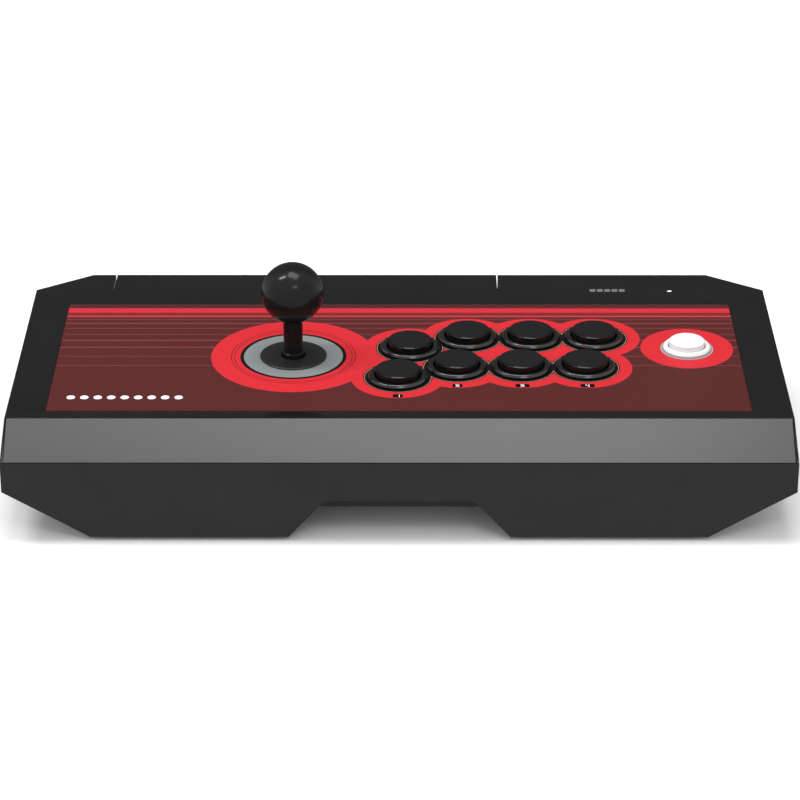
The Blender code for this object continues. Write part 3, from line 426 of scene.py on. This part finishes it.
def printed_sheet():
    """Stripes, red discs round the controls, a grey disc of painted shade showing round the start button's
    rim, and a dark edge, all from the pieces' places.
    """
    paint = Paint("printed_sheet", Specular_IOR_Level=0.12)
    lever = centre("ball_top")
    low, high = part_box("art_overlay")
    colour = stripes(paint, lever.y, (high.y - low.y) / 2)

    from_lever = paint.distance(lever.x, lever.y)
    start = centre("start_button_barrel")
    from_start = paint.distance(start.x, start.y)
    from_button = None
    for name in PLAY_BUTTONS:
        place = centre(f"{name}_barrel")
        here = paint.distance(place.x, place.y)
        from_button = here if from_button is None else paint.sum("MINIMUM", from_button, here)

    red = paint.sum("LESS_THAN", from_lever, LEVER_DISC * MM)
    red = paint.sum("MAXIMUM", red, paint.sum("LESS_THAN", from_button, BUTTON_DISC * MM))
    red = paint.sum("MAXIMUM", red, paint.sum("LESS_THAN", from_start, BUTTON_DISC * MM))
    colour = paint.mix(red, colour, DISC_RED)
    for inner, outer, tint in LEVER_RINGS:
        colour = paint.mix(paint.between(from_lever, inner * MM, outer * MM), colour, tint)
    for inner, outer, tint in BUTTON_RINGS:
        colour = paint.mix(paint.between(from_button, inner * MM, outer * MM), colour, tint)
    # A grey disc under the start button; its edge round the white rim is painted shade.
    colour = paint.mix(paint.sum("LESS_THAN", from_start, START_RIM_SHADE_RADIUS * MM), colour, START_RIM_PAINTED_SHADE)

    across = paint.sum("ABSOLUTE", paint.sum("SUBTRACT", paint.x, (low.x + high.x) / 2))
    margin = paint.sum("GREATER_THAN", across, (high.x - low.x) / 2 - SIDE_MARGIN * MM)
    margin = paint.sum("MAXIMUM", margin, paint.sum("LESS_THAN", paint.y, low.y + END_MARGIN * MM))
    margin = paint.sum("MAXIMUM", margin, paint.sum("GREATER_THAN", paint.y, high.y - END_MARGIN * MM))
    colour = paint.mix(margin, colour, EDGE_RED)

    fleck = paint.ranged(paint.noise(140.0, 3.0), 0.0, 0.03)
    paint.set("Base Color", paint.mix(fleck, colour, srgb(20, 10, 10)))
    paint.set("Roughness", paint.ranged(paint.noise(900.0, 3.0), 0.47, 0.53))
    paint.relief(paint.noise(2200.0, 2.0), 0.00001)
    return paint.material


def dress(node, paint):
    """A CAD piece whose shape is right keeps it, with a better material."""
    NODES[node].data.materials.clear()
    NODES[node].data.materials.append(paint)


# ------------------------------------------------------------------------------------ buttons
def make_button(name):
    """A snap-in barrel with its thread, and the plunger that travels in it."""
    white = name == "start_button"
    rim_paint, cap_paint = (GLOSS_WHITE, GLOSS_WHITE) if white else (GLOSS_BLACK, CAP_BLACK)
    low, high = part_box(f"{name}_barrel")
    place = centre(f"{name}_barrel")
    at = (place.x, place.y, 0)
    rim = (high.x - low.x) / 2
    cap_low, cap_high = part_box(f"{name}_plunger")
    cap = (cap_high.x - cap_low.x) / 2
    bore = cap + 0.45 * MM
    foot = high.z - 2.3 * MM
    body = rim - 2.1 * MM
    path = rounded_path([
        (0.0, low.z, 0), (body - 0.6 * MM, low.z, 0.4 * MM), (body - 0.6 * MM, foot - 3 * MM, 0),
        (body, foot - 2.4 * MM, 0), (body, foot, 0), (rim - 0.15 * MM, foot, 0.1 * MM),
        (rim, foot + 0.9 * MM, 0.7 * MM), (rim - 1.1 * MM, high.z, 1.2 * MM),
        (bore + 0.5 * MM, high.z - 0.15 * MM, 0.5 * MM), (bore, high.z - 0.9 * MM, 0.2 * MM),
        (bore, low.z + 3 * MM, 0.3 * MM), (0.0, low.z + 3 * MM, 0)])
    barrel = lathe(path)
    pitch = 1.5 * MM
    for k in range(9):
        turn_z = foot - 6 * MM - k * pitch
        thread = [(body - 0.7 * MM, turn_z), (body - 0.15 * MM, turn_z + 0.4 * MM),
                  (body - 0.7 * MM, turn_z + 0.8 * MM)]
        ring_lathe([Vector(p) for p in thread], 48, barrel)
    piece(f"{name}_rim", barrel, rim_paint, "panel", at, (f"{name}_barrel",))

    skin = 1.6 * MM
    top = cap_high.z
    cap_path = rounded_path([
        (0.0, top - skin, 0), (cap - skin, top - skin, 0.5 * MM), (cap - skin, cap_low.z, 0),
        (cap, cap_low.z, 0), (cap, top - 0.45 * MM, 0.4 * MM), (cap - 0.9 * MM, top, 0.5 * MM),
        (0.0, top, 0)])
    piece(f"{name}_cap", lathe(cap_path), cap_paint, name, at, (f"{name}_plunger",))


for button in PLAY_BUTTONS + ["start_button"]:
    make_button(button)


# -------------------------------------------------------------------------------------- lever
def make_lever():
    """The ball, the sleeve over the shaft and the washer that follows them."""
    low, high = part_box("ball_top")
    hub = centre("ball_top")
    at = (hub.x, hub.y, 0)
    radius = (high.x - low.x) / 2
    middle = high.z - radius
    socket = 3.6 * MM
    start = math.atan2(low.z - middle, socket)
    steps = 48
    turns = [start + (math.pi / 2 - start) * i / steps for i in range(steps)]
    path = [(0.0, middle + 8 * MM), (socket, middle + 8 * MM), (socket, low.z + 0.6 * MM)]
    path += [(radius * math.cos(a), middle + radius * math.sin(a)) for a in turns[1:]]
    path += [(0.0, middle + radius)]
    piece("ball", lathe(path, 128), BALL_BLACK, "lever", at, ("ball_top",))

    low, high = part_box("shaft_cover")
    foot = (high.x - low.x) / 2
    tube = foot - 0.7 * MM
    collar = high.z - 18.5 * MM
    path = rounded_path([
        (4.3 * MM, low.z, 0), (foot, low.z, 0.2 * MM), (foot, collar, 0.5 * MM),
        (tube, collar + 0.5 * MM, 0.3 * MM), (tube, high.z, 0.5 * MM), (4.3 * MM, high.z, 0.2 * MM)])
    path = [(4.3 * MM, low.z)] + [tuple(p) for p in path[1:]] + [(4.3 * MM, high.z)]
    piece("shaft_sleeve", ring_lathe([Vector(p) for p in path], 64), SLEEVE_BLACK, "lever",
          at, ("shaft_cover",))

    low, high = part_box("dust_washer")
    rim = (high.x - low.x) / 2
    path = rounded_path([
        (6.8 * MM, low.z, 0), (rim, low.z, 0.1 * MM), (rim, low.z + 0.35 * MM, 0.15 * MM),
        (rim - 0.6 * MM, high.z, 0.4 * MM), (7.2 * MM, high.z, 0.3 * MM), (6.8 * MM, high.z - 0.3 * MM, 0)])
    piece("washer", ring_lathe(path, 128), WASHER_BLACK, "dust_disc", at, ("dust_washer",))


make_lever()


# --------------------------------------------------------------------------------- the shells
def deck_rim(edge):
    """The deck's edge at its sides, its cut corners and its rear, but not along the band."""
    low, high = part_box("top_case")
    ends = [v.co for v in edge.verts]
    on_top = all(c.z > high.z - 0.05 * MM for c in ends)
    outside = all(abs(c.x) > high.x - 2 * MM or c.y > high.y - 0.05 * MM for c in ends)
    along_band = all(c.y < low.y + 26 * MM for c in ends)
    return on_top and outside and not along_band


def case_corner(edge):
    """The long outer edges of the lower case, below its seam."""
    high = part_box("lower_case")[1]
    return edge.calc_length() > 12 * MM and all(v.co.z < high.z - 10 * MM for v in edge.verts)


def lid_rim(edge):
    """The lid's edges at its sides and rear, but not the one that meets the deck."""
    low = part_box("compartment_door")[0]
    return edge.calc_length() > 6 * MM and any(v.co.y > low.y + 1 * MM for v in edge.verts)


eased("top_case", 0.4 * MM, DECK_BLACK, "panel", deck_rim)
eased("lower_case", 0.35 * MM, CASE_BLACK, "panel", case_corner)
eased("front_bezel", 0.25 * MM, BAND_GREY, "panel")
eased("compartment_door", 0.3 * MM, DECK_BLACK, "lid", lid_rim, forward=0.28 * MM)
eased("compartment_tray", 0.3 * MM, NYLON, "panel", lambda edge: edge.calc_length() > 8 * MM)
eased("switch_panel", 0.2 * MM, CASE_BLACK, "panel", lambda edge: edge.calc_length() > 8 * MM)
dress("art_overlay", printed_sheet())

for node in NODES:
    if node in ("lever_shaft", "lever_spring"):
        dress(node, STEEL)
    elif node in ("control_plate", "lever_mount_plate"):
        dress(node, PLATE_STEEL)
    elif node.startswith("lever_switch"):
        dress(node, SWITCH_BLACK)
    elif node in ("lever_housing", "restrictor_gate", "lever_actuator", "pivot_ring", "inner_dust_disc"):
        dress(node, NYLON)
    elif node in ("main_board", "lever_board"):
        dress(node, CIRCUIT)
    elif node == "light_pipe":
        dress(node, LIGHT_BAR)


# -------------------------------------------------------------------- printed marks, all plain
SEGMENTS = {"a": (0, 2, 1, 2), "b": (1, 1, 1, 2), "c": (1, 0, 1, 1), "d": (0, 0, 1, 0),
            "e": (0, 0, 0, 1), "f": (0, 1, 0, 2), "g": (0, 1, 1, 1)}
DIGITS = ("bc", "abged", "abgcd", "fgbc")
INK_LOW, INK_HIGH = -0.03 * MM, 0.03 * MM
PILL_AHEAD, PILL_DEPTH, PILL_ROUNDING = 23.4 * MM, 4.2 * MM, 1.1 * MM
PILL_WIDTHS = (5.6 * MM, 5.6 * MM, 7.8 * MM, 7.8 * MM)
FIGURE_WIDE, FIGURE_TALL, FIGURE_STROKE = 1.7 * MM, 2.4 * MM, 0.5 * MM
DISC_COUNT, DISC_PITCH, DISC_RADIUS, DISC_SIDES = 9, 7.4 * MM, 2.3 * MM, 32
FIRST_DISC = (-120.6 * MM, -53.0 * MM)      # from the lever
DASH_COUNT, DASH_WIDE, DASH_DEPTH, DASH_ROUNDING = 5, 3.4 * MM, 3.6 * MM, 0.5 * MM
DASH_START, DASH_PITCH, DASH_ROW = 171.9, 4.3, 90.3      # millimetres from the lever


def digit(strokes, wide, tall, stroke, bm):
    """A seven-stroke figure, centred on the origin."""
    for key in strokes:
        u0, v0, u1, v1 = SEGMENTS[key]
        x0, x1 = (u0 - 0.5) * wide - stroke / 2, (u1 - 0.5) * wide + stroke / 2
        y0, y1 = (v0 / 2 - 0.5) * tall - stroke / 2, (v1 / 2 - 0.5) * tall + stroke / 2
        slab([(x0, y0), (x1, y0), (x1, y1), (x0, y1)], INK_LOW, 2 * INK_HIGH, bm=bm)


def make_pills():
    """A numbered pill in front of each button of the near row."""
    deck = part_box("art_overlay")[1].z
    for k, name in enumerate(LOWER_ROW):
        place = centre(f"{name}_barrel")
        at = (place.x, place.y - PILL_AHEAD, deck)
        pill = slab(rounded_rectangle(PILL_WIDTHS[k], PILL_DEPTH, PILL_ROUNDING), INK_LOW, INK_HIGH)
        piece(f"pill_{k + 1}", pill, PILL_BLACK, "panel", at)
        figure = bmesh.new()
        digit(DIGITS[k], FIGURE_WIDE, FIGURE_TALL, FIGURE_STROKE, figure)
        piece(f"pill_figure_{k + 1}", figure, WHITE_PRINT, "panel", at)


def make_emblem():
    """A row of equal discs, standing in for a mark on the sheet."""
    lever = centre("ball_top")
    bm = bmesh.new()
    turns = [2 * math.pi * i / DISC_SIDES for i in range(DISC_SIDES)]
    for k in range(DISC_COUNT):
        x = FIRST_DISC[0] + DISC_PITCH * k
        outline = [(x + DISC_RADIUS * math.cos(a), FIRST_DISC[1] + DISC_RADIUS * math.sin(a)) for a in turns]
        slab(outline, INK_LOW, INK_HIGH, bm=bm)
    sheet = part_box("art_overlay")[1].z
    piece("emblem", bm, WHITE_PRINT, "panel", (lever.x, lever.y, sheet))


def make_dashes():
    """Short equal strokes in the deck's far right, standing in for a mark."""
    lever = centre("ball_top")
    bm = bmesh.new()
    for k in range(DASH_COUNT):
        left = (DASH_START + DASH_PITCH * k) * MM
        outer = rounded_rectangle(DASH_WIDE, DASH_DEPTH, DASH_ROUNDING, left + DASH_WIDE / 2,
                                  DASH_ROW * MM, 3)
        slab(outer, INK_LOW, INK_HIGH, bm=bm)
    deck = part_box("top_case")[1].z
    piece("deck_dashes", bm, GREY_PRINT, "panel", (lever.x, lever.y, deck))


make_pills()
make_emblem()
make_dashes()


# ------------------------------------------------------------------- feet, screws, keys, knobs
def make_foot(node):
    """A rubber foot with a ring groove in its sole."""
    low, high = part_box(node)
    hub = centre(node)
    rim = (high.x - low.x) / 2
    path = rounded_path([
        (0.0, 0.0, 0), (5.0 * MM, 0.0, 0.15 * MM), (5.3 * MM, 0.6 * MM, 0.15 * MM),
        (6.3 * MM, 0.6 * MM, 0.15 * MM), (6.6 * MM, 0.0, 0.15 * MM), (rim - 0.5 * MM, 0.0, 0.4 * MM),
        (rim, 0.7 * MM, 0.4 * MM), (rim, high.z, 0.1 * MM), (0.0, high.z, 0)], 4)
    piece(f"{node}_pad", lathe(path, 72), RUBBER, "panel", (hub.x, hub.y, 0), (node,))


def cross_outline(reach, half):
    """A cross with square ends, anticlockwise."""
    corner = [(reach, -half), (reach, half), (half, half)]
    turns = [(1, 0), (0, 1), (-1, 0), (0, -1)]
    return [(c * x - s * y, s * x + c * y) for c, s in turns for x, y in corner]


def make_screw(node):
    """A pan-head screw with a cross recess and a threaded shank."""
    low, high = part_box(node)
    hub = centre(node)
    head = (high.x - low.x) / 2
    face = low.z
    bm = bmesh.new()
    steps = 48
    rings = []
    profile = [
        (head - 0.8 * MM, face), (head - 0.25 * MM, face + 0.25 * MM), (head, face + 0.8 * MM),
        (head, face + 2.0 * MM), (1.45 * MM, face + 2.0 * MM), (1.45 * MM, high.z - 1.2 * MM),
        (0.2 * MM, high.z)]
    for radius, height in profile:
        rings.append([bm.verts.new((radius * math.cos(2 * math.pi * i / steps),
                                    radius * math.sin(2 * math.pi * i / steps), height))
                      for i in range(steps)])
    for lower, upper in zip(rings, rings[1:]):
        for i in range(steps):
            bm.faces.new((lower[i], lower[(i + 1) % steps], upper[(i + 1) % steps], upper[i]))
    bm.faces.new(rings[-1])
    mouth = [bm.verts.new((x, y, face)) for x, y in cross_outline(1.5 * MM, 0.35 * MM)]
    floor = [bm.verts.new((0.6 * v.co.x, 0.6 * v.co.y, face + 1.2 * MM)) for v in mouth]
    count = len(mouth)
    inner = [bm.edges.new((mouth[i], mouth[(i + 1) % count])) for i in range(count)]
    outer = [bm.edges.get((rings[0][i], rings[0][(i + 1) % steps])) for i in range(steps)]
    bmesh.ops.triangle_fill(bm, use_beauty=True, edges=inner + outer)
    for i in range(count):
        bm.faces.new((mouth[i], mouth[(i + 1) % count], floor[(i + 1) % count], floor[i]))
    bm.faces.new(floor)
    bmesh.ops.recalc_face_normals(bm, faces=bm.faces)
    pitch = 1.1 * MM
    turns = int((high.z - face - 5.0 * MM) / pitch)
    for k in range(turns):
        z = face + 3.0 * MM + k * pitch
        thread = [(1.40 * MM, z), (1.50 * MM, z + 0.15 * MM), (1.40 * MM, z + 0.3 * MM)]
        ring_lathe([Vector(p) for p in thread], 24, bm)
    piece(f"{node}_driven", bm, STEEL, "panel", (hub.x, hub.y, 0), (node,))


def make_key(node):
    """A rear key with a dished face and a softly rounded rim."""
    low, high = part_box(node)
    hub = centre(node)
    radius = (high.x - low.x) / 2
    depth = high.y - low.y
    path = rounded_path([
        (0.0, 0.0, 0), (radius - 0.6 * MM, 0.0, 0), (radius - 0.6 * MM, 3.0 * MM, 0),
        (radius, 3.0 * MM, 0.1 * MM), (radius, depth - 0.5 * MM, 0.4 * MM),
        (radius - 0.5 * MM, depth, 0.3 * MM), (radius - 1.3 * MM, depth - 0.15 * MM, 0.3 * MM),
        (0.0, depth - 0.35 * MM, 0)], 4)
    body = node.replace("button", "key")
    piece(f"{node}_cap", turn_to(lathe(path, 64), "Y"), GLOSS_BLACK, body,
          (hub.x, low.y, hub.z), (node,))


def make_knob(node, body):
    """A slide switch's knob with three ribs for the thumb."""
    low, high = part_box(node)
    hub = centre(node)
    half = (high - low) / 2
    bm = box((-half.x, low.y - hub.y, -half.z), (half.x, high.y - hub.y - 0.45 * MM, half.z), 0.2 * MM)
    for k in (-1, 0, 1):
        middle = k * 1.4 * MM
        box((middle - 0.4 * MM, half.y - 1.2 * MM, -half.z + 0.2 * MM),
            (middle + 0.4 * MM, half.y, half.z - 0.2 * MM), 0.12 * MM, bm)
    piece(f"{node}_knob", bm, KNOB_GREY, body, tuple(hub), (node,))


def make_gland():
    """The lead's rubber bush, with ribs that let it bend."""
    low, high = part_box("cable_gland")
    hub = centre("cable_gland")
    rim = (high.x - low.x) / 2
    length = high.y - low.y
    bore = 2.4 * MM
    path = rounded_path([
        (bore, 0.0, 0), (4.7 * MM, 0.0, 0.3 * MM), (4.7 * MM, 4.3 * MM, 0), (rim, 4.3 * MM, 0.3 * MM),
        (rim, 6.0 * MM, 0.4 * MM), (5.2 * MM, 6.0 * MM, 0.3 * MM), (5.0 * MM, 7.4 * MM, 0.2 * MM),
        (5.6 * MM, 7.6 * MM, 0.2 * MM), (5.3 * MM, 9.0 * MM, 0.2 * MM), (4.6 * MM, 9.2 * MM, 0.2 * MM),
        (4.4 * MM, 10.2 * MM, 0.2 * MM), (4.8 * MM, 10.4 * MM, 0.2 * MM), (4.1 * MM, length, 0.4 * MM),
        (bore, length, 0.2 * MM), (bore, length - 0.5 * MM, 0)], 3)
    piece("gland_bush", turn_to(ring_lathe(path, 64), "Y"), RUBBER, "panel",
          (hub.x, low.y, hub.z), ("cable_gland",))


def make_hinge_pin():
    """The rod that the lid turns on, with its ends rounded."""
    low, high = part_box("door_hinge_pin")
    hub = centre("door_hinge_pin")
    half = (high.x - low.x) / 2
    radius = (high.z - low.z) / 2
    path = rounded_path([
        (0.0, -half, 0), (radius, -half, 0.3 * MM), (radius, half, 0.3 * MM), (0.0, half, 0)])
    piece("hinge_rod", turn_to(lathe(path, 32), "X"), STEEL, "panel", tuple(hub),
          ("door_hinge_pin",))


for node in list(NODES):
    if node.startswith("rubber_foot"):
        make_foot(node)
    elif node.startswith("case_screw"):
        make_screw(node)
    elif node.startswith("function_button"):
        make_key(node)
make_knob("mode_switch", "mode_knob")
make_knob("lock_switch", "lock_knob")
make_gland()
make_hinge_pin()


# --------------------------------------------------------------------------- floor and lights
def make_floor():
    reach = 4.0
    bm = bmesh.new()
    bmesh.ops.create_grid(bm, x_segments=8, y_segments=8, size=reach)
    mesh = bpy.data.meshes.new("floor")
    bm.to_mesh(mesh)
    bm.free()
    paint = Paint("floor_paper", Specular_IOR_Level=0.1)
    tone = paint.mix(paint.ranged(paint.noise(3.0), 0.0, 1.0), srgb(248, 248, 248), srgb(252, 252, 252))
    paint.set("Base Color", tone)
    paint.set("Roughness", paint.ranged(paint.noise(40.0), 0.8, 0.9))
    mesh.materials.append(paint.material)
    floor = bpy.data.objects.new("floor", mesh)
    bpy.context.scene.collection.objects.link(floor)
    floor.location = (0, 0, -0.0002)
    floor.visible_glossy = False


def area_light(name, place, target, size, power):
    data = bpy.data.lights.new(name, "AREA")
    data.shape = "RECTANGLE"
    data.size, data.size_y = size
    data.energy = power
    light = bpy.data.objects.new(name, data)
    bpy.context.scene.collection.objects.link(light)
    light.location = place
    light.rotation_euler = (Vector(target) - Vector(place)).to_track_quat("-Z", "Y").to_euler()
    return light


def make_world():
    """A bright room with a dark wall at the back, which keeps the level gloss dark."""
    world = bpy.data.worlds.new("studio")
    bpy.context.scene.world = world
    world.use_nodes = True
    tree = world.node_tree
    back = tree.nodes["Background"]
    place = tree.nodes.new("ShaderNodeTexCoord")
    facing = tree.nodes.new("ShaderNodeVectorMath")
    facing.operation = "DOT_PRODUCT"
    facing.inputs[1].default_value = Vector((0.0, 1.0, 0.3)).normalized()
    ramp = tree.nodes.new("ShaderNodeValToRGB")
    tree.links.new(place.outputs["Generated"], facing.inputs[0])
    tree.links.new(facing.outputs["Value"], ramp.inputs["Fac"])
    tree.links.new(ramp.outputs["Color"], back.inputs["Color"])
    steps = ramp.color_ramp.elements
    steps[0].position, steps[0].color = 0.45, (1.0, 1.0, 1.0, 1)
    steps[1].position, steps[1].color = 0.80, (0.16, 0.16, 0.16, 1)
    back.inputs["Strength"].default_value = 0.95


def make_camera():
    data = bpy.data.cameras.new("camera")
    data.lens = CAMERA_LENS
    data.sensor_width = 36.0
    data.clip_end = 20.0
    camera = bpy.data.objects.new("camera", data)
    bpy.context.scene.collection.objects.link(camera)
    camera.location = CAMERA_PLACE
    camera.rotation_euler = (math.radians(90 - CAMERA_DROP), 0, math.radians(CAMERA_TURN))
    bpy.context.scene.camera = camera


make_floor()
make_world()
make_camera()
area_light("ceiling", (0.02, 0.05, 1.6), (0, 0, 0), (0.85, 0.60), 12)
area_light("window", (-0.88, 0.02, 1.50), (0, 0, 0), (0.16, 0.55), 9)
area_light("front", (0.31, -1.21, 1.38), (0, 0, 0), (0.50, 0.30), 2.5)
bpy.context.scene.view_settings.view_transform = "Standard"
